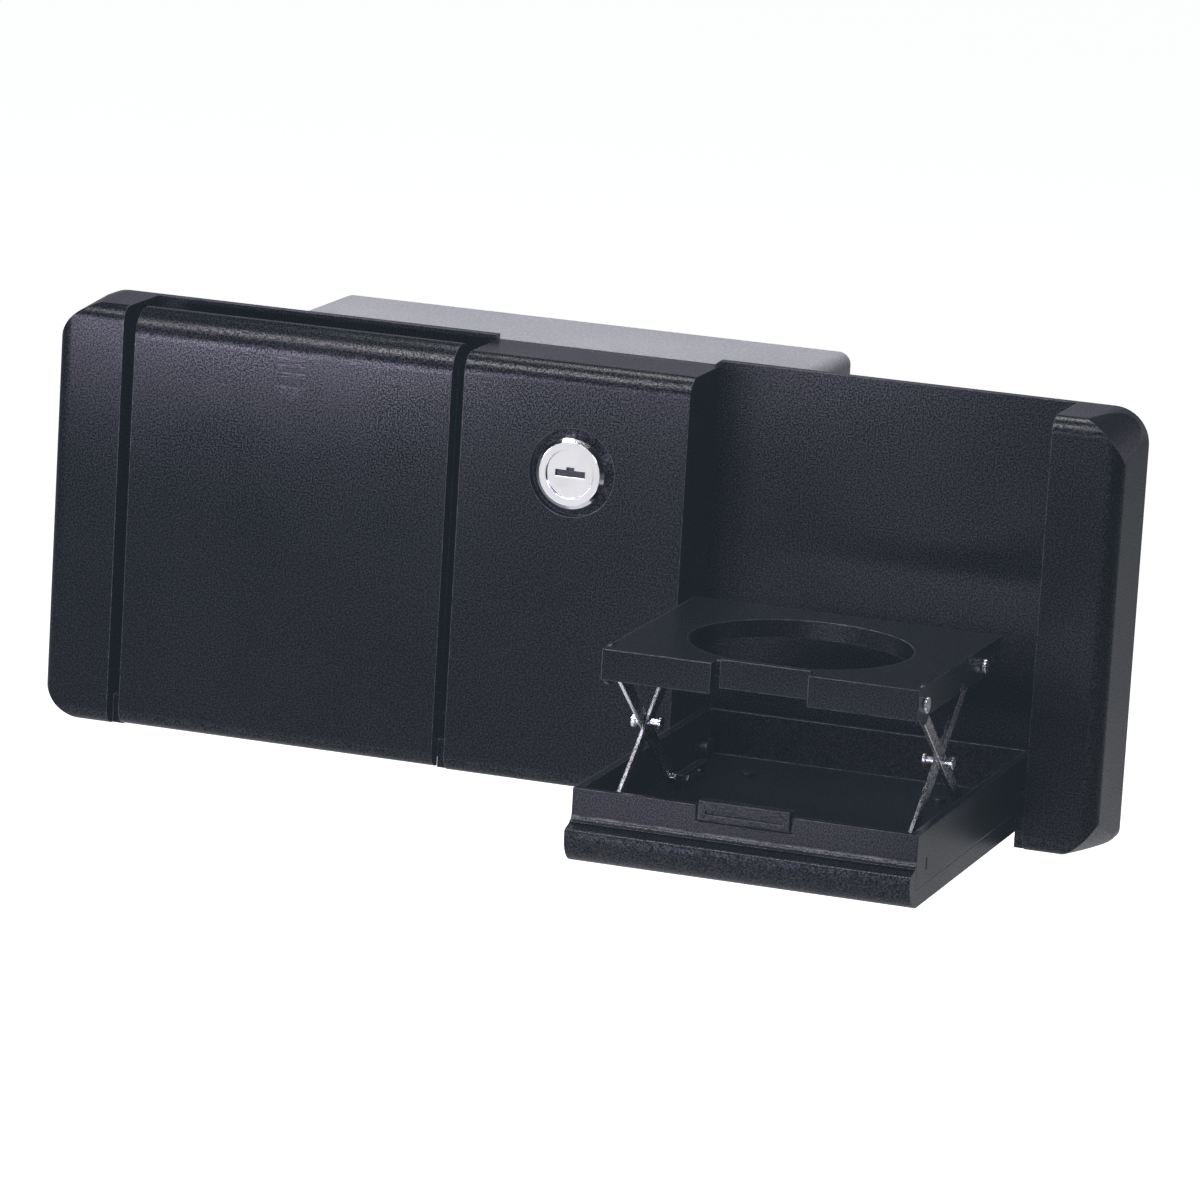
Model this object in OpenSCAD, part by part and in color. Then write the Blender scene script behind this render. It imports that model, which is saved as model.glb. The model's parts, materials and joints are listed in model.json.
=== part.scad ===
// Lockable console panel: two fold-down cup holders on a hinged panel
// that closes a storage bin. Millimetres, +Z up, +Y to the back.
// Origin: middle of the panel's bottom edge, on its front plane.
// Rest pose: right holder folded down, left holder closed, panel closed.

/* [Panel] */
// Width of the whole panel over both end caps
panel_w = 340; // [300:1:380]
// Height of the panel
panel_h = 132; // [120:1:145]
// Depth of the bays, from the front plane to the back plate
bay_depth = 27.5; // [26:0.5:34]
// Thickness of the back plate
plate_t = 3; // [2:0.5:4]
// Width of the middle panel that carries the lock
centre_w = 72; // [66:1:84]
// Width of each end cap
cap_w = 22; // [18:1:28]
// Wall thickness of the caps and the middle panel
wall = 2.5; // [2:0.1:3]
// Upper corner radius of the panel at its back
corner_r = 11; // [8:1:14]
// Lower corner radius of the panel at its back
low_corner_r = 4; // [2:0.5:8]
// Corner radius of the panel at its front face
front_corner_r = 16; // [12:1:18]
// Radius of the caps' front edges
edge_r = 5; // [3:0.5:6]
// Rounding along the top front edge of the doors
door_top_r = 8.5; // [6:0.5:9]
// Rounding along the top front edge of the centre panel
centre_top_r = 6; // [4:0.5:6.5]
// How far the plate and middle panel dip at the top middle
notch_dip = 1.7; // [1:0.1:3]

/* [Holders] */
// Width of a folding door
door_w = 104; // [98:1:106]
// Height of a folding door
door_h = 131; // [126:1:132]
// Hinge axis distance behind the front plane
hinge_y = 10.6; // [9:0.1:12]
// Hinge axis height above the bottom edge
hinge_z = 15.2; // [14:0.1:17]
// Thickness of a door from its front face to the tray rim
door_t = 21.7; // [20:0.1:23]
// Height of the lip at the door's upper end
lip_t = 10.9; // [9:0.1:13]
// How far the lip stands out beyond the tray's front strip
lip_out = 5.7; // [4:0.1:7]
// Length of a scissor link between its end pins
link_len = 75; // [70:0.5:76]
// Scissor angle with the holder folded down
open_deg = 37.9; // [36:0.1:42]
// Scissor angle with the holder closed
shut_deg = 4.5; // [4:0.1:8]
// Radius of the hole the cup stands in
cup_r = 33; // [30:0.5:36]

/* [Lock] */
// Height of the lock centre above the bottom edge
lock_z = 97.6; // [80:0.1:105]
// Radius of the lock's bright front ring
lock_ring_r = 10.9; // [9:0.1:13]
// Radius of the turning plug
plug_r = 7.5; // [6:0.1:8]
// Depth of the round recess that the ring stands in
recess_d = 3.2; // [1:0.1:3.5]

/* [Bin] */
// Width of the storage bin
bin_w = 171; // [150:1:180]
// Sideways position of the bin's middle
bin_x = -31.5; // [-35:0.5:0]
// Height of the bin's top face
bin_top = 125; // [110:1:126]
// Height of the bin's bottom face
bin_bottom = 12; // [10:1:30]
// Position of the bin's back face
bin_back = 105.7; // [80:0.1:160]

/* [Hidden] */
$fn = 48;
slack = 0.1;
half_w = panel_w / 2;
plate_back = bay_depth + plate_t;
cap_x = half_w - cap_w;
bay_x = (centre_w / 2 + cap_x) / 2;

// holder frame: origin on the door hinge, door upright, +Y to the back
door_x = door_w / 2;
door_top = door_h + 0.5 - hinge_z;
door_low = 0.5 - hinge_z;
front_y = -hinge_y;
rim_y = door_t - hinge_y;
strip_z = door_top - lip_out;
seam_y = -5;
floor_y = -2.7;
side_t = 2.4;
swing_r = bay_depth - hinge_y - 0.9;
lip_edge_r = 1.2;
lip_slope_y = 1.6;
lip_fillet_r = 1.8;
pivot_y = 0;
pivot_z = strip_z - 13;
cup_z = 65.2;
pin_r = 1.25;
pin_gap = 0.05;
link_t = 1.2;
link_half_w = 2.1;
link_b_x = 43.6;
link_a_x = 45;
bracket_x = 40.6;
bracket_t = 2.4;
ring_half_w = 47.6;
ring_wall = 1.2;
ring_wall_x = ring_half_w - ring_wall;
ring_front = 7;
ring_rear = -78;
ring_top = 5.5;
ring_under = 3;
ring_low = -3.6;
clip_half_w = 14.6;
clip_set_back = 2.4;
open_span = link_len * cos(open_deg);
shut_span = link_len * cos(shut_deg);
hinge_pin_r = 2;
gap_foot_w = 3.8;
gap_foot_y = 5.2;
gap_foot_h = 9;

screw_r = 1.5;
cap_screw_x = half_w - cap_w / 2;
cap_screw_z = [25, panel_h - 25];
mid_screw_x = 27;
mid_screw_z = [34, panel_h - 14];
bin_flange_y = 36.7;
flange_t = 2.5;
bin_left = bin_x - bin_w / 2;
bin_right = bin_x + bin_w / 2;
flange_side = 14;
flange_low = 3.2;
flange_top = 129;
panel_axis_y = 33.7;
panel_axis_z = 3.2;
knuckle_r = 2.9;
knuckle_len = 18;
leaf_t = 1.6;
leaf_top = 24;
leaf_x0 = bin_left + 4;
leaf_len = bin_w - 8;
cam_y = 41;
strike_y = 39.4;
strike_x = 0;
strike_w = 15;

black = [0.05, 0.05, 0.06];
black_inner = [0.07, 0.07, 0.08];
steel = [0.75, 0.75, 0.77];
chrome = [0.85, 0.85, 0.87];
zinc = [0.6, 0.6, 0.6];
grey = [0.62, 0.63, 0.66];

// ---------- shared shapes ----------

// rectangle from (0, 0) to (w, h) with one radius on all corners
module round_rect(w, h, r) {
    translate([r, 0]) square([w - 2 * r, h]);
    translate([0, r]) square([w, h - 2 * r]);
    for (x = [r, w - r], y = [r, h - r]) translate([x, y]) circle(r);
}

// panel outline: lower corners rounded by r0, upper corners by r1
module panel_outline(w, h, r0, r1) {
    translate([0, r0]) square([w, h - r0 - r1]);
    translate([r0, 0]) square([w - 2 * r0, r0 + slack]);
    translate([r1, h - r1 - slack]) square([w - 2 * r1, r1 + slack]);
    for (x = [r0, w - r0]) translate([x, r0]) circle(r0);
    for (x = [r1, w - r1]) translate([x, h - r1]) circle(r1);
}

// section with the front (x = 0) corners rounded, low one by r0 and high one by r1
module front_round(d, h, r0, r1) {
    translate([0, r0]) square([d, h - r0 - r1]);
    translate([r0, 0]) square([d - r0, r0 + slack]);
    translate([r1, h - r1 - slack]) square([d - r1, r1 + slack]);
    intersection() {
        square([d, h]);
        union() {
            translate([r0, r0]) circle(r0);
            translate([r1, h - r1]) circle(r1);
        }
    }
}

// draw a (y, z) section and run it along x from x0 for len
module along_x(x0, len) {
    translate([x0, 0, 0]) rotate([90, 0, 90]) linear_extrude(len) children();
}

// draw an (x, z) section and run it along y from y0 for len
module along_y(y0, len) {
    translate([0, y0 + len, 0]) rotate([90, 0, 0]) linear_extrude(len) children();
}

// block given by its low and high corners
module block(low, high) {
    translate(low) cube(high - low);
}

// cylinder along x
module rod_x(x0, len, r, y, z) {
    translate([x0, y, z]) rotate([0, 90, 0]) cylinder(r = r, h = len);
}

// cylinder along y
module rod_y(y0, len, r, x, z) {
    translate([x, y0, z]) rotate([-90, 0, 0]) cylinder(r = r, h = len);
}

// copy on both sides of x = 0
module both_sides() {
    children();
    mirror([1, 0, 0]) children();
}

// straight bar with round ends between two points of the (y, z) plane
module slot_section(y0, z0, y1, z1, r) {
    length = norm([y1 - y0, z1 - z0]);
    translate([y0, z0]) rotate(atan2(z1 - z0, y1 - y0)) {
        translate([0, -r]) square([length, 2 * r]);
        circle(r);
        translate([length, 0]) circle(r);
    }
}

// ---------- panel body ----------

// the plate dips behind the middle panel
module back_plate() {
    color(black) difference() {
        along_y(bay_depth, plate_t) difference() {
            translate([-half_w, 0]) panel_outline(panel_w, panel_h, low_corner_r, corner_r);
            polygon([[-centre_w / 2, panel_h - notch_dip], [centre_w / 2 - 2, panel_h - notch_dip],
                [centre_w / 2 + 1, panel_h + 1], [-centre_w / 2, panel_h + 1]]);
        }
        rod_y(bay_depth - 1, plate_t + 2, 11, 0, lock_z);
        panel_screw_holes(screw_r + 0.1, bay_depth - 1, plate_t + 2);
        for (x = leaf_rivet_x()) rod_y(bay_depth - 1, plate_t + 2, 1.5, x, 18);
    }
}

module panel_screw_holes(r, y0, len) {
    both_sides() for (z = cap_screw_z) rod_y(y0, len, r, cap_screw_x, z);
    both_sides() for (z = mid_screw_z) rod_y(y0, len, r, mid_screw_x, z);
}

module end_cap() {
    difference() {
        union() {
            difference() {
                intersection() {
                    along_y(0, bay_depth) translate([-half_w, 0])
                        panel_outline(panel_w, panel_h, low_corner_r, corner_r);
                    along_x(cap_x, cap_w) front_round(bay_depth, panel_h, edge_r, edge_r);
                }
                outer_edge_cut();
                corner_cut(0, low_corner_r);
                translate([0, 0, panel_h]) mirror([0, 0, 1]) corner_cut(0, corner_r);
                along_y(6, bay_depth) translate([cap_x + wall, 4])
                    round_rect(cap_w - 2 * wall, panel_h - 8, cap_w / 2 - wall - 1);
            }
            gap_foot(cap_x - gap_foot_w);
            for (z = cap_screw_z) rod_y(wall, bay_depth - wall, 4, cap_screw_x, z);
        }
        for (z = cap_screw_z) rod_y(9, bay_depth, screw_r, cap_screw_x, z);
        rod_x(cap_x - 1, wall + 2, hinge_pin_r, hinge_y, hinge_z);
    }
}

// block that closes the bottom of the gap beside a door, set back from the front
module gap_foot(x0) {
    block([x0, gap_foot_y, 0], [x0 + gap_foot_w + slack, bay_depth, gap_foot_h]);
}

// the waste outside a lower outer corner that is full at the front and tighter at the back
module corner_cut(z0, back_r) {
    lean = front_corner_r - (back_r * (sqrt(2) - 1) + front_corner_r) / sqrt(2);
    tilt = atan2(lean, bay_depth);
    difference() {
        block([half_w - front_corner_r, -1, z0 - 1], [half_w + 1, bay_depth + 1, z0 + front_corner_r]);
        translate([half_w - front_corner_r, 0, z0 + front_corner_r]) rotate([-tilt, 0, -tilt])
            rod_y(-10, bay_depth + 30, front_corner_r, 0, 0);
    }
}

// the waste outside the rounded front edge of the cap's outer side
module outer_edge_cut() {
    difference() {
        block([half_w - edge_r, -1, -1], [half_w + 1, edge_r, panel_h + 1]);
        translate([half_w - edge_r, edge_r, -2]) cylinder(r = edge_r, h = panel_h + 4);
    }
}

module right_end_cap() {
    color(black) end_cap();
}

module left_end_cap() {
    color(black) mirror([1, 0, 0]) end_cap();
}

module centre_panel() {
    color(black) difference() {
        union() {
            difference() {
                along_x(-centre_w / 2, centre_w)
                    front_round(bay_depth, panel_h - notch_dip, edge_r, centre_top_r);
                block([-centre_w / 2 + wall, 3, wall],
                    [centre_w / 2 - wall, bay_depth + 1, panel_h - notch_dip - wall]);
            }
            both_sides() for (z = mid_screw_z) rod_y(2, bay_depth - 2, 4, mid_screw_x, z);
            both_sides() gap_foot(centre_w / 2 - slack);
            rod_y(2, 4, 16, 0, lock_z);
        }
        both_sides() for (z = mid_screw_z) rod_y(9, bay_depth, screw_r, mid_screw_x, z);
        rod_y(-1, 8, 9.1, 0, lock_z);
        rod_y(-1, recess_d + 1, 13.6, 0, lock_z);
        rod_x(-centre_w, 2 * centre_w, hinge_pin_r, hinge_y, hinge_z);
    }
}

module panel_screws() {
    color(zinc) {
        panel_screw_holes(screw_r - 0.05, 12, plate_back - 12 + 0.5);
        panel_screw_holes(3, plate_back, 1.8);
    }
}

// each pin: head inside the wall, shank across the gap into the tray side
module tray_hinge_pins() {
    color(steel) both_sides() {
        rod_x(centre_w / 2 - wall - 1.5, 1.5, 3.5, hinge_y, hinge_z);
        rod_x(centre_w / 2 - wall, bay_x - door_x - centre_w / 2 + wall + 4.5,
            hinge_pin_r, hinge_y, hinge_z);
        rod_x(cap_x + wall, 1.5, 3.5, hinge_y, hinge_z);
        rod_x(bay_x + door_x - 4.5, cap_x + wall - bay_x - door_x + 4.5,
            hinge_pin_r, hinge_y, hinge_z);
    }
}

// ---------- panel hinge ----------

function leaf_rivet_x() = [for (i = [0.5 : 1 : 3.5]) leaf_x0 + leaf_len * i / 4];
function knuckle_x(first) = [for (i = [first : 2 : 8]) leaf_x0 + i * knuckle_len];

// leaf with every second knuckle; leaf_y is the leaf's front face
module hinge_leaf(first, leaf_y) {
    difference() {
        union() {
            for (x = knuckle_x(first)) {
                rod_x(x + 0.1, knuckle_len - 0.2, knuckle_r, panel_axis_y, panel_axis_z);
                block([x + 0.1, leaf_y, panel_axis_z], [x + knuckle_len - 0.1, leaf_y + leaf_t, 8]);
            }
            block([leaf_x0, leaf_y, 7.5], [leaf_x0 + leaf_len, leaf_y + leaf_t, leaf_top]);
        }
        rod_x(leaf_x0 - 1, leaf_len + 2, 1.25, panel_axis_y, panel_axis_z);
    }
}

module panel_hinge_leaf() {
    color(steel) difference() {
        hinge_leaf(0, plate_back);
        for (x = leaf_rivet_x()) rod_y(plate_back - 1, leaf_t + 2, 1.5, x, 18);
    }
}

module panel_hinge_rivets() {
    color(steel) for (x = leaf_rivet_x()) {
        rod_y(bay_depth, plate_t + leaf_t + 0.1, 1.5, x, 18);
        rod_y(plate_back + leaf_t, 1, 2.6, x, 18);
    }
}

module bin_hinge_leaf() {
    color(steel) difference() {
        hinge_leaf(1, bin_flange_y - leaf_t);
        for (x = leaf_rivet_x()) rod_y(bin_flange_y - 4, 6, 1.5, x + 9, 14);
    }
}

module bin_hinge_rivets() {
    color(steel) for (x = leaf_rivet_x()) {
        rod_y(bin_flange_y - leaf_t - 0.1, leaf_t + flange_t + 0.1, 1.5, x + 9, 14);
        rod_y(bin_flange_y - leaf_t - 1, 1, 2.6, x + 9, 14);
    }
}

module hinge_rod() {
    color(steel) rod_x(leaf_x0, leaf_len, 1.2, panel_axis_y, panel_axis_z);
}

// ---------- bin ----------

module bin_shell() {
    color(grey) difference() {
        union() {
            along_y(bin_flange_y, bin_back - bin_flange_y)
                translate([bin_left, bin_bottom]) round_rect(bin_w, bin_top - bin_bottom, 4);
            along_y(bin_flange_y, flange_t) translate([bin_left - flange_side, flange_low])
                round_rect(bin_w + 2 * flange_side, flange_top - flange_low, 4);
        }
        along_y(bin_flange_y - 1, bin_back - bin_flange_y + 1 - wall)
            translate([bin_left + wall, bin_bottom + wall])
            round_rect(bin_w - 2 * wall, bin_top - bin_bottom - 2 * wall, 2);
        for (x = [bin_left - flange_side / 2, bin_right + flange_side / 2], z = [22, 112])
            rod_y(bin_flange_y - 1, flange_t + 2, 2.6, x, z);
        for (x = leaf_rivet_x()) rod_y(bin_flange_y - 1, flange_t + 2, 1.5, x + 9, 14);
        for (x = [-4.5, 4.5]) translate([strike_x + x, strike_y + 9, bin_top - 10])
            cylinder(r = 1.5, h = 20);
    }
}

// angle piece hanging from the bin roof; the cam turns up behind its front leg
module strike_plate() {
    leg_x0 = strike_x - strike_w / 2;
    roof = bin_top - wall;
    color(steel) difference() {
        union() {
            block([leg_x0, strike_y - 1.5, roof - 11], [leg_x0 + strike_w, strike_y, roof]);
            block([leg_x0, strike_y - 1.5, roof - 1.5], [leg_x0 + strike_w, strike_y + 15, roof]);
        }
        for (x = [-4.5, 4.5]) translate([strike_x + x, strike_y + 9, roof - 5])
            cylinder(r = 1.5, h = 10);
    }
}

module strike_rivets() {
    color(steel) for (x = [-4.5, 4.5]) translate([strike_x + x, strike_y + 9, 0]) {
        translate([0, 0, bin_top - wall - 1.5]) cylinder(r = 1.45, h = wall + 1.5);
        translate([0, 0, bin_top]) cylinder(r = 2.5, h = 0.8);
        translate([0, 0, bin_top - wall - 2.5]) cylinder(r = 2.5, h = 1);
    }
}

// ---------- lock ----------

module lock_barrel() {
    color(chrome) difference() {
        union() {
            translate([0, recess_d, lock_z]) rotate([90, 0, 0])
                rotate_extrude() polygon([[0, 0], [lock_ring_r, 0], [lock_ring_r, recess_d + 1.2],
                    [lock_ring_r - 1.2, recess_d + 2.2], [0, recess_d + 2.2]]);
            rod_y(recess_d, 25, 9, 0, lock_z);
        }
        rod_y(-3, 40, plug_r + pin_gap, 0, lock_z);
    }
}

module lock_nut() {
    color(zinc) difference() {
        translate([0, 10, lock_z]) rotate([90, 0, 0]) cylinder(r = 13, h = 3.9, $fn = 6);
        rod_y(5, 6, 9, 0, lock_z);
    }
}

// plug with a keyway that lies flat in the rest pose
module lock_plug() {
    color(chrome) difference() {
        union() {
            rod_y(-1.4, 30, plug_r, 0, lock_z);
            rod_y(28, 17, 3.5, 0, lock_z);
        }
        block([-4.7, -2, lock_z - 1], [4.7, 7, lock_z + 1]);
        block([-1.2, -2, lock_z], [1.2, 7, lock_z + 1.9]);
        rod_y(35, 11, 1.2, 0, lock_z);
    }
}

// cam lies flat to the left in the rest pose and turns up behind the strike
module lock_cam() {
    color(zinc) difference() {
        union() {
            rod_y(cam_y, 2, 7, 0, lock_z);
            block([-20, cam_y, lock_z - 5], [0, cam_y + 2, lock_z + 5]);
        }
        rod_y(cam_y - 1, 4, 3.5, 0, lock_z);
    }
}

module lock_cam_screw() {
    color(zinc) {
        rod_y(38, 7.5, 1.2, 0, lock_z);
        rod_y(45, 2, 4.4, 0, lock_z);
    }
}

// ---------- holder pieces, in the holder frame ----------

// the scissor's state: height and span of the link ends at angle a
function rise(a) = link_len * sin(a);
function span(a) = link_len * cos(a);

module door_skin() {
    difference() {
        union() {
            difference() {
                along_x(-door_x, door_w) skin_section();
                block([-door_x + side_t, front_y + 2.5, door_low + side_t],
                    [door_x - side_t, seam_y + 1, strip_z + slack]);
            }
            skin_screw_posts(3, front_y + 2, seam_y + slack / 2);
            grip_marks();
        }
        skin_screw_posts(1, front_y + 2.6, seam_y + 5);
    }
}

// the skin from the side: thin below, a thick rounded lip at the upper end, whose back
// face slopes to a rounded edge and meets the tray's front strip in a fillet
module skin_section() {
    edge_y = lip_t + front_y - lip_edge_r;
    translate([front_y, door_low]) difference() {
        front_round(edge_y - front_y, door_h, edge_r, door_top_r);
        translate([seam_y - front_y, -1]) square([lip_t, strip_z - door_low + slack + 1]);
    }
    polygon([[edge_y - slack, strip_z + slack], [lip_slope_y, strip_z + slack],
        [edge_y + lip_edge_r, door_top - lip_edge_r], [edge_y - slack, door_top - slack]]);
    translate([edge_y, door_top - lip_edge_r]) circle(lip_edge_r);
    difference() {
        translate([lip_slope_y - slack, strip_z + slack]) square([lip_fillet_r + slack, lip_fillet_r]);
        translate([lip_slope_y + lip_fillet_r, strip_z + slack + lip_fillet_r]) circle(lip_fillet_r);
    }
}

module skin_screw_posts(r, y0, y1) {
    both_sides() for (z = [12, 98]) rod_y(y0, y1 - y0, r, 30, z);
}

// raised grip bars and an arrow near the door's upper end
module grip_marks() {
    for (i = [0 : 2]) block([-4.7, front_y - 0.4, strip_z - 4.6 - i * 2.35],
        [4.7, front_y + 1, strip_z - 3.5 - i * 2.35]);
    along_y(front_y - 0.4, 1.4) polygon([[-5, strip_z - 12.5], [5, strip_z - 12.5],
        [0, strip_z - 16.5]]);
}

module tray_liner() {
    difference() {
        union() {
            intersection() {
                difference() {
                    block([-door_x, seam_y + slack, -12], [door_x, rim_y, strip_z]);
                    block([-door_x + side_t, floor_y, -12 + side_t],
                        [door_x - side_t, rim_y + 1, strip_z - side_t]);
                }
                union() {
                    rod_x(-door_x, door_w, swing_r, 0, 0);
                    block([-door_x, seam_y, 0], [door_x, rim_y, strip_z]);
                }
            }
            both_sides() rod_x(door_x - 6, 6, 4.2, 0, 0);
        }
        both_sides() rod_x(door_x - 10, 12, hinge_pin_r + pin_gap, 0, 0);
        both_sides() block([door_x - 0.8, -1, 100], [door_x + 1, 2.6, 101.2]);
        skin_screw_posts(1.3, seam_y, floor_y + 1);
        block([-clip_half_w, rim_y - 4.8, strip_z - 1.4], [clip_half_w, rim_y + 1, strip_z + 1]);
        block([-clip_half_w, rim_y - 0.7, strip_z - 3.5], [clip_half_w, rim_y + 1, strip_z + 1]);
    }
}

module skin_screws() {
    skin_screw_posts(0.95, front_y + 4, floor_y + 0.1);
    skin_screw_posts(2.2, floor_y, floor_y + 1.1);
}

// blocks on the tray floor that hold the front pivots and guide the rear pins
module pivot_brackets() {
    both_sides() difference() {
        union() {
            block([bracket_x, floor_y, pivot_z - 3], [bracket_x + bracket_t, pivot_y + 2.2, pivot_z + 3]);
            block([bracket_x, floor_y, pivot_z - shut_span - 3],
                [bracket_x + bracket_t, pivot_y + 2.2, pivot_z - open_span + 4]);
        }
        rod_x(bracket_x - 1, 5, pin_r + pin_gap, pivot_y, pivot_z);
        along_x(bracket_x - 1, 5) slot_section(pivot_y, pivot_z - shut_span - 0.3,
            pivot_y, pivot_z - open_span + 0.3, pin_r + slack);
    }
}

// spring tab let into the tray's front strip; it stands a little above the rim
module catch_tab() {
    tab_x = clip_half_w - 0.9;
    difference() {
        union() {
            block([-tab_x, rim_y - 4.1, strip_z - 1.3], [tab_x, rim_y + 1.5, strip_z + 0.5]);
            block([-tab_x, rim_y - 0.6, strip_z - 3.4], [tab_x, rim_y + 1.5, strip_z + 0.5]);
        }
        block([2 - tab_x, rim_y - 2.4, strip_z - 0.5], [tab_x - 2, rim_y - 1.1, strip_z + 1]);
    }
}

// link between two points of the scissor plane, with three holes
module link(x0, y0, z0, y1, z1, hole_0, hole_mid, hole_1) {
    difference() {
        along_x(x0, link_t) slot_section(y0, z0, y1, z1, link_half_w);
        rod_x(x0 - 1, link_t + 2, hole_0, y0, z0);
        rod_x(x0 - 1, link_t + 2, hole_mid, (y0 + y1) / 2, (z0 + z1) / 2);
        rod_x(x0 - 1, link_t + 2, hole_1, y1, z1);
    }
}

// link B: front pivot on the tray, rear pin in the ring's slot
module link_b(a) {
    both_sides() link(link_b_x, pivot_y, pivot_z, pivot_y + rise(a), pivot_z - span(a),
        pin_r, pin_r, pin_r);
}

module link_b_pins(a) {
    both_sides() {
        rod_x(bracket_x - 0.9, link_b_x + link_t - bracket_x + 0.9, pin_r, pivot_y, pivot_z);
        rod_x(bracket_x - 1.4, 1.3, 2.3, pivot_y, pivot_z);
        rod_x(link_b_x, ring_half_w + 0.3 - link_b_x, pin_r, pivot_y + rise(a), pivot_z - span(a));
        rod_x(ring_half_w + 0.2, 1.2, 2.1, pivot_y + rise(a), pivot_z - span(a));
    }
}

// pins through both links at the crossing, with a head at each end
module cross_pins(a) {
    mid_y = pivot_y + rise(a) / 2;
    mid_z = pivot_z - span(a) / 2;
    both_sides() {
        rod_x(bracket_x, ring_half_w + 0.5 - bracket_x, pin_r, mid_y, mid_z);
        rod_x(bracket_x - 0.6, 0.9, 1.9, mid_y, mid_z);
        rod_x(ring_half_w + 0.3, 1.2, 1.9, mid_y, mid_z);
    }
}

// link A: front pivot on the ring, rear pin in the tray bracket's slot
module link_a(a) {
    both_sides() link(link_a_x, pivot_y + rise(a), pivot_z, pivot_y, pivot_z - span(a),
        pin_r + pin_gap, pin_r + pin_gap, pin_r);
}

module link_a_pins(a) {
    both_sides() rod_x(bracket_x - 0.5, link_a_x + link_t - bracket_x + 0.5, pin_r,
        pivot_y, pivot_z - span(a));
}

// ring pieces below are drawn from the ring's own front pivot
module at_ring(a) {
    translate([0, pivot_y + rise(a), pivot_z]) children();
}

module ring_plate(a) {
    hole_z = cup_z - pivot_z;
    at_ring(a) difference() {
        union() {
            block([-ring_half_w, ring_under, ring_rear], [ring_half_w, ring_top, ring_front]);
            block([-ring_half_w, ring_low, ring_front - 4], [ring_half_w, ring_top, ring_front]);
            rod_y(0, ring_under + 1, cup_r + 2, 0, hole_z);
            both_sides() ring_side();
        }
        rod_y(-1, 10, cup_r, 0, hole_z);
        block([-clip_half_w, ring_low - 1, ring_front - clip_set_back - 2.5],
            [clip_half_w, ring_top + 1, ring_front + 1]);
    }
}

module ring_side() {
    difference() {
        union() {
            block([ring_wall_x, ring_low, ring_rear], [ring_half_w, ring_under + 0.5, ring_front - 3]);
            rod_x(ring_wall_x, ring_wall, 6.2, 0, 0);
        }
        rod_x(ring_wall_x - 1, ring_wall + 2, pin_r, 0, 0);
        along_x(ring_wall_x - 1, ring_wall + 2) slot_section(0, -shut_span - 0.3, 0,
            -open_span + 0.3, pin_r + slack);
        along_x(ring_wall_x - 1, ring_wall + 2) slot_section(ring_low - 3,
            -shut_span / 2 - 0.2, -rise(shut_deg) / 2, -shut_span / 2 - 0.2, pin_r + 0.7);
    }
}

// middle piece of the front bar, set back, a little higher and open at its left end
module ring_clip(a) {
    at_ring(a) block([2 - clip_half_w, ring_low + 1.6, ring_front - clip_set_back - 2.4],
        [clip_half_w - slack, ring_top + 0.9, ring_front - clip_set_back]);
}

module ring_rivets(a) {
    at_ring(a) both_sides() {
        rod_x(link_a_x, ring_half_w - link_a_x, pin_r, 0, 0);
        rod_x(ring_half_w, 1, 2.4, 0, 0);
    }
}

// ---------- the two holders ----------

// right holder folded down, left holder upright
module right_side() {
    translate([bay_x, hinge_y, hinge_z]) rotate([90, 0, 0]) children();
}

module left_side() {
    translate([-bay_x, hinge_y, hinge_z]) children();
}

module right_door_skin() { color(black) right_side() door_skin(); }
module right_tray_liner() { color(black_inner) right_side() tray_liner(); }
module right_skin_screws() { color(zinc) right_side() skin_screws(); }
module right_pivot_brackets() { color(black_inner) right_side() pivot_brackets(); }
module right_catch_tab() { color(black) right_side() catch_tab(); }
module right_link_b() { color(steel) right_side() link_b(open_deg); }
module right_link_b_pins() { color(steel) right_side() link_b_pins(open_deg); }
module right_cross_pins() { color(steel) right_side() cross_pins(open_deg); }
module right_link_a() { color(steel) right_side() link_a(open_deg); }
module right_link_a_pins() { color(steel) right_side() link_a_pins(open_deg); }
module right_ring_plate() { color(black) right_side() ring_plate(open_deg); }
module right_ring_clip() { color(black) right_side() ring_clip(open_deg); }
module right_ring_rivets() { color(steel) right_side() ring_rivets(open_deg); }

module left_door_skin() { color(black) left_side() door_skin(); }
module left_tray_liner() { color(black_inner) left_side() tray_liner(); }
module left_skin_screws() { color(zinc) left_side() skin_screws(); }
module left_pivot_brackets() { color(black_inner) left_side() pivot_brackets(); }
module left_catch_tab() { color(black) left_side() catch_tab(); }
module left_link_b() { color(steel) left_side() link_b(shut_deg); }
module left_link_b_pins() { color(steel) left_side() link_b_pins(shut_deg); }
module left_cross_pins() { color(steel) left_side() cross_pins(shut_deg); }
module left_link_a() { color(steel) left_side() link_a(shut_deg); }
module left_link_a_pins() { color(steel) left_side() link_a_pins(shut_deg); }
module left_ring_plate() { color(black) left_side() ring_plate(shut_deg); }
module left_ring_clip() { color(black) left_side() ring_clip(shut_deg); }
module left_ring_rivets() { color(steel) left_side() ring_rivets(shut_deg); }

// ---------- nodes ----------

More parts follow.
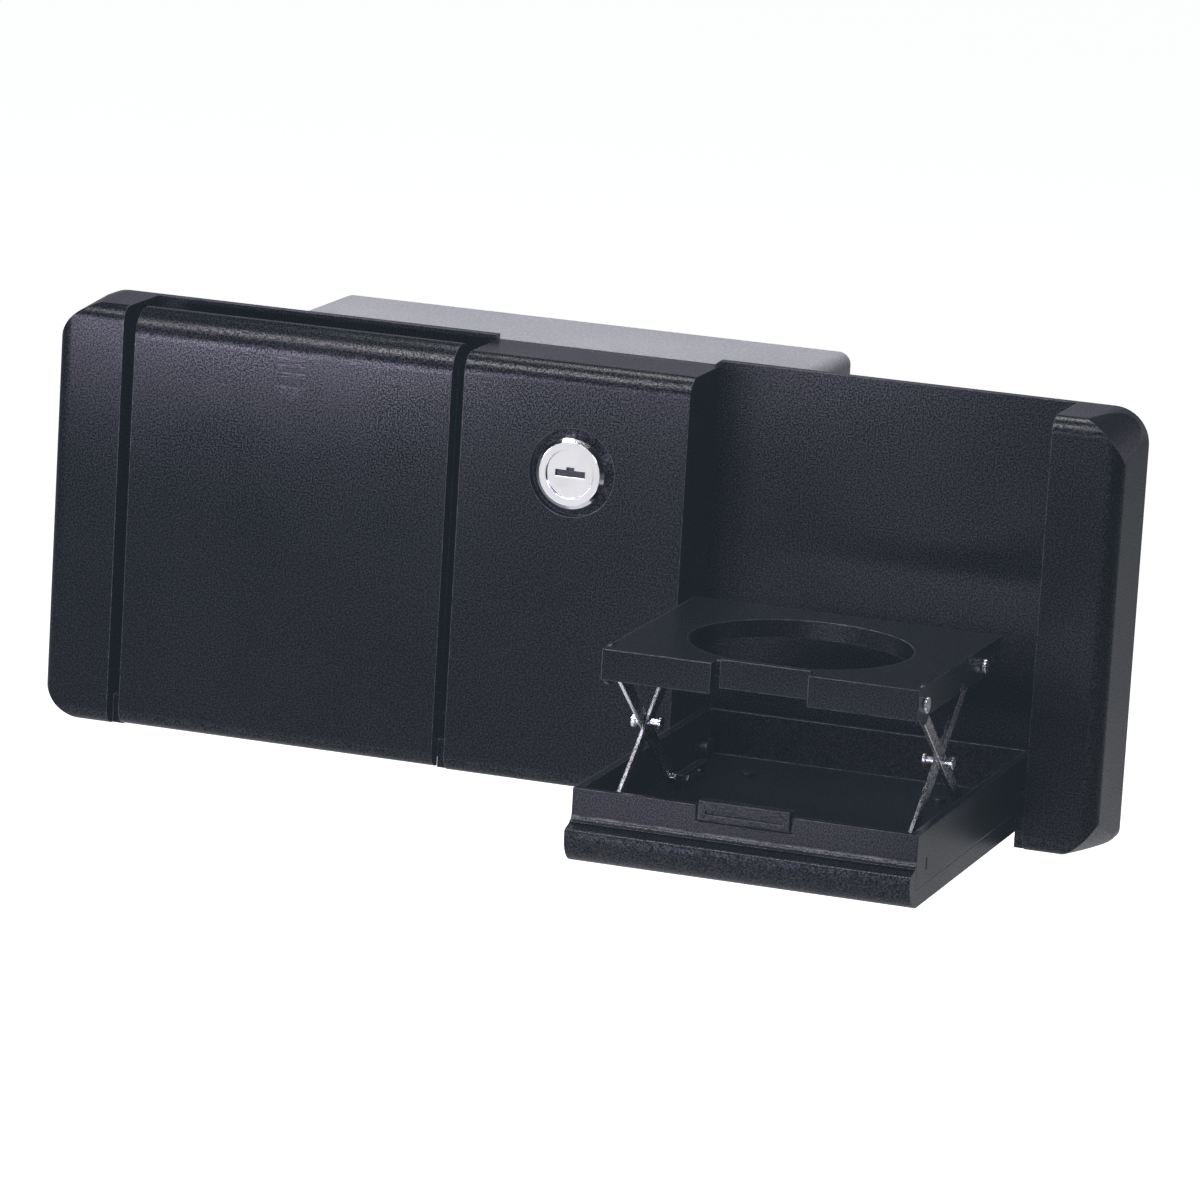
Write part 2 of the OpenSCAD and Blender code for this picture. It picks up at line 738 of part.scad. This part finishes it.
back_plate();
left_end_cap();
right_end_cap();
centre_panel();
panel_screws();
tray_hinge_pins();
panel_hinge_leaf();
panel_hinge_rivets();
lock_barrel();
lock_nut();
lock_plug();
lock_cam();
lock_cam_screw();
bin_shell();
bin_hinge_leaf();
bin_hinge_rivets();
hinge_rod();
strike_plate();
strike_rivets();
right_door_skin();
right_tray_liner();
right_skin_screws();
right_pivot_brackets();
right_catch_tab();
right_link_b();
right_link_b_pins();
right_cross_pins();
right_link_a();
right_link_a_pins();
right_ring_plate();
right_ring_clip();
right_ring_rivets();
left_door_skin();
left_tray_liner();
left_skin_screws();
left_pivot_brackets();
left_catch_tab();
left_link_b();
left_link_b_pins();
left_cross_pins();
left_link_a();
left_link_a_pins();
left_ring_plate();
left_ring_clip();
left_ring_rivets();
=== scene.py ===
"""Looks for a lockable console panel with two folding cup holders.

Metres, +Z up, +Y to the back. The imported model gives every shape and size. This script
adds materials, screw heads with driver crosses, the wafers in the keyway, the floor, the
lights and the camera. Edges are softened in the materials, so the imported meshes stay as
they are.
"""

import json
import math

import bmesh
import bpy
from mathutils import Matrix, Vector


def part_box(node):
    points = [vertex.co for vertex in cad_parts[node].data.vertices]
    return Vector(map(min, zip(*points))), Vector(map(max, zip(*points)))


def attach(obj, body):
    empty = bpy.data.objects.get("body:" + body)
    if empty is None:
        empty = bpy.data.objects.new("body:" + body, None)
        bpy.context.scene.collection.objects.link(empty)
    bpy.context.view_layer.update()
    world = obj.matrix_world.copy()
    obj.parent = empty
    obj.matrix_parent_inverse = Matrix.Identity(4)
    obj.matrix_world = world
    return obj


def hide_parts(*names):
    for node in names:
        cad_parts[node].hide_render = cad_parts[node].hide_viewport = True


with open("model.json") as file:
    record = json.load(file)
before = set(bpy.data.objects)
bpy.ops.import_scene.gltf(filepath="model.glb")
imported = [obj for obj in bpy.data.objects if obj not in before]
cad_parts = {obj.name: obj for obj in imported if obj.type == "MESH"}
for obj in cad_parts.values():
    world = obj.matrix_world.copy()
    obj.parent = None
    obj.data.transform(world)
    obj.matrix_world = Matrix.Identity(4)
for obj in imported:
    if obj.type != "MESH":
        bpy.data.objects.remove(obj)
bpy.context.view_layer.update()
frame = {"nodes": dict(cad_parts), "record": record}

MM = 0.001
SLOTS = {row["node"]: row["material_slot"] for row in frame["record"]["subparts"]}

# camera: the point looked at, and the direction and distance to it
LOOK_AT = Vector((0.0, 0.012, 0.066))
CAMERA_YAW = 18.648
CAMERA_PITCH = 11.755
CAMERA_ROLL = 3.387
CAMERA_DISTANCE = 2.0608
LENS_MM = 203.34
SHIFT_X = 0.01775
SHIFT_Y = -0.02617

# below the open tray when the panel is swung down
FLOOR_Z = -0.145
FLOOR_HALF = 6.0
# light the floor gives to the object in front and behind, and to the camera
FLOOR_GLOW_FRONT = 0.05
FLOOR_GLOW_BACK = 0.14
FLOOR_GLOW_SEEN = 0.95


# ---------- node helpers ----------


class Shader:
    """One node material with a Principled surface; its patterns lie in object space, in metres."""

    def __init__(self, name):
        self.material = bpy.data.materials.new(name)
        self.material.use_nodes = True
        self.tree = self.material.node_tree
        self.tree.nodes.clear()
        self.surface = self.add("ShaderNodeBsdfPrincipled")
        output = self.add("ShaderNodeOutputMaterial")
        self.join(self.surface.outputs["BSDF"], output.inputs["Surface"])
        self.place = self.add("ShaderNodeTexCoord").outputs["Object"]

    def add(self, kind, **settings):
        node = self.tree.nodes.new(kind)
        for key, value in settings.items():
            setattr(node, key, value)
        return node

    def join(self, source, target):
        self.tree.links.new(source, target)

    def feed(self, target, value):
        """Links a socket, or sets a plain value."""
        if isinstance(value, bpy.types.NodeSocket):
            self.join(value, target)
        else:
            target.default_value = value

    def set(self, name, value):
        self.feed(self.surface.inputs[name], value)

    def noise(self, size, detail=2.0, roughness=0.5, stretch=None):
        """Noise whose blobs are about size metres across, 0 to 1."""
        node = self.add("ShaderNodeTexNoise")
        node.inputs["Scale"].default_value = 1.0 / size
        node.inputs["Detail"].default_value = detail
        node.inputs["Roughness"].default_value = roughness
        place = self.place
        if stretch is not None:
            mapping = self.add("ShaderNodeMapping")
            mapping.inputs["Scale"].default_value = stretch
            self.join(self.place, mapping.inputs["Vector"])
            place = mapping.outputs["Vector"]
        self.join(place, node.inputs["Vector"])
        return node.outputs["Fac"]

    def cells(self, size):
        """Distance from the middle of cells about size metres across."""
        node = self.add("ShaderNodeTexVoronoi")
        node.inputs["Scale"].default_value = 1.0 / size
        self.join(self.place, node.inputs["Vector"])
        return node.outputs["Distance"]

    def spread(self, value, low, high, out_low, out_high):
        """Maps low..high to out_low..out_high, clamped."""
        node = self.add("ShaderNodeMapRange")
        self.join(value, node.inputs["Value"])
        node.inputs["From Min"].default_value = low
        node.inputs["From Max"].default_value = high
        node.inputs["To Min"].default_value = out_low
        node.inputs["To Max"].default_value = out_high
        return node.outputs["Result"]

    def math(self, operation, a, b):
        node = self.add("ShaderNodeMath", operation=operation)
        self.feed(node.inputs[0], a)
        self.feed(node.inputs[1], b)
        return node.outputs["Value"]

    def blend(self, amount, first, second):
        """Mixes two colours."""
        node = self.add("ShaderNodeMix", data_type="RGBA")
        self.feed(node.inputs["Factor"], amount)
        self.feed(node.inputs["A"], first)
        self.feed(node.inputs["B"], second)
        return node.outputs["Result"]

    def relief(self, height, depth, under):
        """Turns a 0 to 1 height into a relief depth metres deep, on top of the normal under it."""
        node = self.add("ShaderNodeBump")
        node.inputs["Strength"].default_value = 1.0
        node.inputs["Distance"].default_value = depth
        self.join(height, node.inputs["Height"])
        self.join(under, node.inputs["Normal"])
        return node.outputs["Normal"]

    def rounded_edges(self, radius):
        """Rounded normal at edges, and a 0 to 1 mask that is 1 on the edges."""
        rounded = self.add("ShaderNodeBevel", samples=6)
        rounded.inputs["Radius"].default_value = radius
        true_normal = self.add("ShaderNodeNewGeometry").outputs["Normal"]
        same = self.add("ShaderNodeVectorMath", operation="DOT_PRODUCT")
        self.join(rounded.outputs["Normal"], same.inputs[0])
        self.join(true_normal, same.inputs[1])
        mask = self.spread(same.outputs["Value"], 0.98, 0.80, 0.0, 1.0)
        return rounded.outputs["Normal"], mask


def rgb(red, green, blue):
    return (red, green, blue, 1.0)


# ---------- materials ----------


def moulded_plastic(name, colour, speck, edge_wear_and_highlight, grain, depth, roughness, specular=0.5, edge=0.6 * MM,
                    painted_glow=rgb(0.0, 0.0, 0.0)):
    """Moulded plastic: fine grain with bright flecks, slight cloudiness, and edges lightened partly as wear
    and partly as a painted highlight.

    grain and depth are the width and height of the relief. The emission colour is a painted glow
    that the plastic gives off, so that even its deepest shadows stay grey.
    """
    s = Shader(name)
    rounded, mask = s.rounded_edges(edge)
    fine = s.noise(grain, detail=3.0, roughness=0.65)
    pits = s.cells(grain * 1.6)
    cloud = s.noise(0.045, detail=2.0)
    flecks = s.spread(fine, 0.52, 0.72, 0.0, 1.0)
    tone = s.blend(flecks, colour, speck)
    tone = s.blend(s.spread(cloud, 0.35, 0.7, 0.0, 0.25), tone, speck)
    # edges lighter in the colour: partly wear, partly a painted highlight along the rounded edges
    rub_and_highlight = s.math("MULTIPLY", mask, s.spread(s.noise(0.004, detail=4.0), 0.35, 0.7, 0.15, 0.8))
    tone = s.blend(rub_and_highlight, tone, edge_wear_and_highlight)
    s.set("Base Color", tone)
    dull = s.spread(fine, 0.3, 0.7, roughness - 0.07, roughness + 0.09)
    s.set("Roughness", s.math("ADD", dull, s.spread(cloud, 0.3, 0.7, -0.03, 0.03)))
    s.set("Specular IOR Level", s.spread(fine, 0.42, 0.66, specular * 0.15, specular * 2.4))
    # painted glow: the plastic gives off a little light, so its shadows stay grey
    s.set("Emission Color", painted_glow)
    s.set("Emission Strength", 1.0)
    ground = s.relief(fine, depth, rounded)
    s.set("Normal", s.relief(s.spread(pits, 0.0, 0.6, 0.0, 1.0), depth * 0.5, ground))
    return s.material


def plated_metal(name, colour, dark, roughness, scratch_stretch, edge=0.15 * MM):
    """Plated metal: brushed lines, a few dull patches, brighter edges."""
    s = Shader(name)
    rounded, mask = s.rounded_edges(edge)
    lines = s.noise(0.00025, detail=3.0, stretch=scratch_stretch)
    patches = s.noise(0.006, detail=4.0)
    tone = s.blend(s.spread(patches, 0.45, 0.75, 0.0, 0.5), colour, dark)
    tone = s.blend(s.math("MULTIPLY", mask, 0.35), tone, colour)
    s.set("Base Color", tone)
    s.set("Metallic", 1.0)
    rough = s.math("ADD", s.spread(lines, 0.3, 0.7, roughness - 0.05, roughness + 0.07),
                   s.spread(patches, 0.4, 0.7, 0.0, 0.06))
    s.set("Roughness", rough)
    s.set("Normal", s.relief(lines, 0.000004, rounded))
    return s.material


# painted glow that keeps the shadows on the dark plastics grey
PAINTED_SHADOW_GLOW = rgb(0.0110, 0.0147, 0.0186)

# plastics: colour, fleck colour, then the edge colour, which is partly wear and partly painted highlight
MATERIALS = {
    "grained_black": moulded_plastic(
        "grained_black", rgb(0.001, 0.0013, 0.002), rgb(0.003, 0.0026, 0.0055), rgb(0.26, 0.25, 0.29),
        grain=0.5 * MM, depth=0.03 * MM, roughness=0.28, specular=0.26,
        edge=0.42 * MM, painted_glow=PAINTED_SHADOW_GLOW),
    "smooth_black": moulded_plastic(
        "smooth_black", rgb(0.001, 0.0013, 0.002), rgb(0.002, 0.0018, 0.003), rgb(0.20, 0.19, 0.22),
        grain=0.4 * MM, depth=0.008 * MM, roughness=0.30, specular=0.26, painted_glow=PAINTED_SHADOW_GLOW),
    "grey_shell": moulded_plastic(
        "grey_shell", rgb(0.30, 0.31, 0.33), rgb(0.46, 0.46, 0.49), rgb(0.62, 0.63, 0.66),
        grain=0.8 * MM, depth=0.08 * MM, roughness=0.5),
    "chrome": plated_metal(
        "chrome", rgb(0.86, 0.86, 0.88), rgb(0.74, 0.74, 0.78), 0.07, (1.0, 1.0, 1.0), edge=0.25 * MM),
    "bright_steel": plated_metal(
        "bright_steel", rgb(0.92, 0.92, 0.94), rgb(0.75, 0.75, 0.78), 0.24, (1.0, 0.2, 0.2), edge=0.5 * MM),
    "steel": plated_metal(
        "steel", rgb(0.55, 0.55, 0.57), rgb(0.38, 0.38, 0.40), 0.34, (0.15, 1.0, 1.0)),
    "black_steel": moulded_plastic(
        "black_steel", rgb(0.004, 0.004, 0.005), rgb(0.012, 0.012, 0.013), rgb(0.05, 0.05, 0.052),
        grain=0.2 * MM, depth=0.004 * MM, roughness=0.36, painted_glow=PAINTED_SHADOW_GLOW),
    "zinc": plated_metal(
        "zinc", rgb(0.60, 0.60, 0.58), rgb(0.45, 0.46, 0.48), 0.38, (1.0, 1.0, 1.0)),
}


def paint_cad_nodes():
    for name, slot in SLOTS.items():
        node = frame["nodes"][name]
        node.data.materials.clear()
        node.data.materials.append(MATERIALS[slot])


# ---------- small detail pieces ----------


def lathe(mesh, profile, steps=28):
    """Adds a closed solid turned round +Z from (radius, height) points, first and last on the axis."""
    rings = []
    for radius, height in profile[1:-1]:
        angles = [math.tau * step / steps for step in range(steps)]
        rings.append([mesh.verts.new((radius * math.cos(a), radius * math.sin(a), height)) for a in angles])
    first = mesh.verts.new((0.0, 0.0, profile[0][1]))
    last = mesh.verts.new((0.0, 0.0, profile[-1][1]))
    for step in range(steps):
        after = (step + 1) % steps
        mesh.faces.new((first, rings[0][after], rings[0][step]))
        for low, high in zip(rings, rings[1:]):
            mesh.faces.new((low[step], low[after], high[after], high[step]))
        mesh.faces.new((rings[-1][step], rings[-1][after], last))


def cross_cutter(width, reach, low, high):
    """Mesh of a plus sign that narrows downwards, to cut a driver recess."""
    taper = 0.7
    half = width / 2.0
    outline = [(half, half), (half, reach), (-half, reach), (-half, half), (-reach, half), (-reach, -half),
               (-half, -half), (-half, -reach), (half, -reach), (half, -half), (reach, -half), (reach, half)]
    mesh = bmesh.new()
    floor = [mesh.verts.new((x * taper, y * taper, low)) for x, y in outline]
    roof = [mesh.verts.new((x, y, high)) for x, y in outline]
    mesh.faces.new(list(reversed(floor)))
    mesh.faces.new(roof)
    for step in range(len(outline)):
        after = (step + 1) % len(outline)
        mesh.faces.new((floor[step], floor[after], roof[after], roof[step]))
    return mesh


def object_from(mesh, name):
    data = bpy.data.meshes.new(name)
    bmesh.ops.recalc_face_normals(mesh, faces=mesh.faces)
    mesh.to_mesh(data)
    mesh.free()
    piece = bpy.data.objects.new(name, data)
    bpy.context.scene.collection.objects.link(piece)
    return piece


def finish_piece(piece, body, slot):
    piece.data.materials.clear()
    piece.data.materials.append(MATERIALS[slot])
    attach(piece, body)


def cross_head_screws(node_name, body, places, axis, head_r, head_h, shank_r, shank_len):
    """Replaces a screw node with domed screws that have a driver cross; head end points along axis."""
    cross_w = 0.9 * MM
    cross_reach = 1.7 * MM
    cross_depth = 1.0 * MM
    rim_share = 0.45
    turn = Vector(axis).to_track_quat("Z", "Y").to_matrix().to_4x4()
    cross = cross_cutter(cross_w, cross_reach, head_h - cross_depth, head_h + cross_depth)
    cutter = object_from(cross, "cutter")
    slopes = [math.radians(degrees) for degrees in range(0, 90, 15)]
    dome = [(head_r * math.cos(a), head_h * (rim_share + (1.0 - rim_share) * math.sin(a))) for a in slopes]
    for number, place in enumerate(places, 1):
        mesh = bmesh.new()
        lathe(mesh, [(0.0, -shank_len), (shank_r, -shank_len), (shank_r, 0.0), (head_r, 0.0), *dome,
                     (0.0, head_h)])
        piece = object_from(mesh, f"{node_name}_{number}")
        cut = piece.modifiers.new("driver_cross", "BOOLEAN")
        cut.operation = "DIFFERENCE"
        cut.solver = "EXACT"
        cut.object = cutter
        graph = bpy.context.evaluated_depsgraph_get()
        piece.data = bpy.data.meshes.new_from_object(piece.evaluated_get(graph))
        piece.modifiers.clear()
        piece.data.transform(Matrix.Translation(place) @ turn)
        finish_piece(piece, body, SLOTS[node_name])
        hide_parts(node_name)
    bpy.data.objects.remove(cutter)


def add_keyway_wafers():
    """Dark wafers that fill the keyway behind the lock's face."""
    low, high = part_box("lock_plug")
    centre_x = (low[0] + high[0]) / 2.0
    centre_z = (low[2] + high[2]) / 2.0
    slot = 4.6 * MM
    half = 0.9 * MM
    tooth = 1.1 * MM
    tooth_top = 1.8 * MM
    wafer_t = 1.3 * MM
    wafer_pitch = 1.4 * MM
    outline = [(-slot, -half), (slot, -half), (slot, half), (tooth, half), (tooth, tooth_top),
               (-tooth, tooth_top), (-tooth, half), (-slot, half)]
    mesh = bmesh.new()
    front_y = low[1] + 0.7 * MM
    rows = []
    for step in range(5):
        wafer_y = front_y + step * wafer_pitch
        shrink = 1.0 if step % 2 == 0 else 0.9
        for y in (wafer_y, wafer_y + wafer_t):
            row = [mesh.verts.new((centre_x + x * shrink, y, centre_z + z * shrink)) for x, z in outline]
            rows.append(row)
    for near, far in zip(rows, rows[1:]):
        for step in range(len(outline)):
            after = (step + 1) % len(outline)
            mesh.faces.new((near[step], near[after], far[after], far[step]))
    mesh.faces.new(list(reversed(rows[0])))
    mesh.faces.new(rows[-1])
    piece = object_from(mesh, "keyway_wafers")
    finish_piece(piece, "lock", "black_steel")


def add_screws():
    """Screws behind the panel: four hold the end caps, and four, set inwards, the middle panel."""
    head_r = 3.0 * MM
    head_h = 1.8 * MM
    shank_r = 1.45 * MM
    inset = 9.0 * MM
    plate_low, plate_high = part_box("back_plate")
    middle_low, middle_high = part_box("centre_panel")
    low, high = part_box("panel_screws")
    back = plate_high[1]
    left, right = low[0] + head_r, high[0] - head_r
    bottom, top = low[2] + head_r, high[2] - head_r
    inner = (middle_high[0] - middle_low[0]) / 2.0 - inset
    outer_top = (plate_high[2] - plate_low[2]) - bottom
    places = [(x, back, z) for x in (left, right) for z in (bottom, outer_top)]
    places += [(x, back, z) for x in (-inner, inner) for z in (bottom + inset, top)]
    cross_head_screws("panel_screws", "panel", places, (0, 1, 0), head_r, head_h, shank_r, back - low[1])


# ---------- stage, lights, camera ----------


def add_floor():
    """Pale floor that mostly glows by itself, so that it stays white and keeps only a faint shadow."""
    corners = [(x * FLOOR_HALF, y * FLOOR_HALF, FLOOR_Z) for x, y in ((-1, -1), (1, -1), (1, 1), (-1, 1))]
    mesh = bpy.data.meshes.new("floor")
    mesh.from_pydata(corners, [], [(0, 1, 2, 3)])
    floor = bpy.data.objects.new("floor", mesh)
    bpy.context.scene.collection.objects.link(floor)
    s = Shader("pale_floor")
    s.set("Base Color", s.blend(s.noise(0.4), rgb(0.86, 0.86, 0.87), rgb(0.90, 0.90, 0.91)))
    s.set("Roughness", 0.9)
    s.set("Specular IOR Level", 0.0)
    seen = s.add("ShaderNodeLightPath").outputs["Is Camera Ray"]
    split = s.add("ShaderNodeSeparateXYZ")
    s.join(s.place, split.inputs[0])
    unseen_glow = s.spread(split.outputs["Y"], -0.1, 0.5, FLOOR_GLOW_FRONT, FLOOR_GLOW_BACK)
    extra = s.math("SUBTRACT", FLOOR_GLOW_SEEN, unseen_glow)
    s.set("Emission Color", rgb(1.0, 1.0, 1.0))
    s.set("Emission Strength", s.math("ADD", unseen_glow, s.math("MULTIPLY", seen, extra)))
    mesh.materials.append(s.material)


def add_softbox(name, place, target, width, height, watts, tint=(1.0, 1.0, 1.0)):
    data = bpy.data.lights.new(name, "AREA")
    data.shape = "RECTANGLE"
    data.size = width
    data.size_y = height
    data.energy = watts
    data.color = tint
    light = bpy.data.objects.new(name, data)
    light.location = place
    light.rotation_mode = "QUATERNION"
    light.rotation_quaternion = (Vector(target) - Vector(place)).to_track_quat("-Z", "Y")
    light.visible_camera = False
    bpy.context.scene.collection.objects.link(light)


def add_lights():
    violet = (1.0, 0.93, 1.24)
    # close strips in front, each placed where one part of the front mirrors it to the camera
    add_softbox("door_strip", (-0.155, -0.13, 0.115), (-0.155, 0.0, 0.125), 0.16, 0.010, 0.19, violet)
    add_softbox("bay_strip", (0.0, -0.13, 0.115), (0.0, 0.0, 0.125), 0.14, 0.010, 0.050, violet)
    add_softbox("tray_strip", (0.055, -0.21, 0.0), (0.09, -0.10, 0.02), 0.12, 0.02, 0.035, violet)
    # further off, for bright lines along the rounded edges
    add_softbox("edge_strip", (-0.16, -0.55, 0.155), (0.0, 0.0, 0.10), 0.9, 0.02, 1.1, violet)
    # white card that the lock's bright face mirrors to the camera
    lock_low, lock_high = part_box("lock_plug")
    lock_face = Vector(((lock_low[0] + lock_high[0]) / 2.0, lock_low[1], (lock_low[2] + lock_high[2]) / 2.0))
    to_card = Vector((-0.312, -0.928, -0.204))
    card = lock_face + to_card * 0.3
    add_softbox("lock_card", card, lock_face, 0.06, 0.06, 0.0085)
    # overhead in front, for bright lines along the rounded top edges
    add_softbox("front_top", (-0.13, -0.36, 0.62), (0.0, -0.04, 0.07), 0.6, 0.2, 4.2,
                (1.0, 0.97, 1.05))
    # from behind, for the bin and the flat tops
    add_softbox("back_top", (-0.02, 0.28, 0.80), (-0.03, 0.07, 0.12), 0.5, 0.3, 3.4)


def add_world():
    """Dark studio overhead, with a pale band low at the back."""
    world = bpy.data.worlds.new("studio")
    bpy.context.scene.world = world
    world.use_nodes = True
    tree = world.node_tree
    background = tree.nodes["Background"]
    place = tree.nodes.new("ShaderNodeTexCoord").outputs["Generated"]
    split = tree.nodes.new("ShaderNodeSeparateXYZ")
    tree.links.new(place, split.inputs[0])
    backness = tree.nodes.new("ShaderNodeMapRange")
    backness.interpolation_type = "SMOOTHSTEP"
    backness.inputs["From Min"].default_value = 0.1
    backness.inputs["From Max"].default_value = 0.8
    tree.links.new(split.outputs["Y"], backness.inputs["Value"])
    lowness = tree.nodes.new("ShaderNodeMapRange")
    lowness.interpolation_type = "SMOOTHSTEP"
    lowness.inputs["From Min"].default_value = 0.42
    lowness.inputs["From Max"].default_value = 0.12
    tree.links.new(split.outputs["Z"], lowness.inputs["Value"])
    glow = tree.nodes.new("ShaderNodeMath")
    glow.operation = "MULTIPLY"
    tree.links.new(backness.outputs["Result"], glow.inputs[0])
    tree.links.new(lowness.outputs["Result"], glow.inputs[1])
    tone = tree.nodes.new("ShaderNodeMix")
    tone.data_type = "RGBA"
    tone.inputs["A"].default_value = rgb(0.020, 0.026, 0.028)
    tone.inputs["B"].default_value = rgb(0.46, 0.43, 0.52)
    tree.links.new(glow.outputs["Value"], tone.inputs["Factor"])
    tree.links.new(tone.outputs["Result"], background.inputs["Color"])
    background.inputs["Strength"].default_value = 1.0


def add_camera():
    yaw = math.radians(CAMERA_YAW)
    pitch = math.radians(CAMERA_PITCH)
    roll = math.radians(CAMERA_ROLL)
    right = Vector((math.cos(yaw), math.sin(yaw), 0.0))
    forward = Vector((-math.sin(yaw) * math.cos(pitch), math.cos(yaw) * math.cos(pitch), -math.sin(pitch)))
    up = right.cross(forward)
    side_axis = right * math.cos(roll) + up * math.sin(roll)
    top_axis = up * math.cos(roll) - right * math.sin(roll)
    place = LOOK_AT - forward * CAMERA_DISTANCE
    data = bpy.data.cameras.new("camera")
    data.sensor_width = 36.0
    data.lens = LENS_MM
    data.shift_x = SHIFT_X
    data.shift_y = SHIFT_Y
    camera = bpy.data.objects.new("camera", data)
    turn = Matrix((side_axis, top_axis, -forward)).transposed().to_4x4()
    camera.matrix_world = Matrix.Translation(place) @ turn
    bpy.context.scene.collection.objects.link(camera)
    bpy.context.scene.camera = camera


paint_cad_nodes()
add_screws()
add_keyway_wafers()
add_floor()
add_lights()
add_world()
add_camera()
bpy.context.scene.view_settings.view_transform = "Standard"
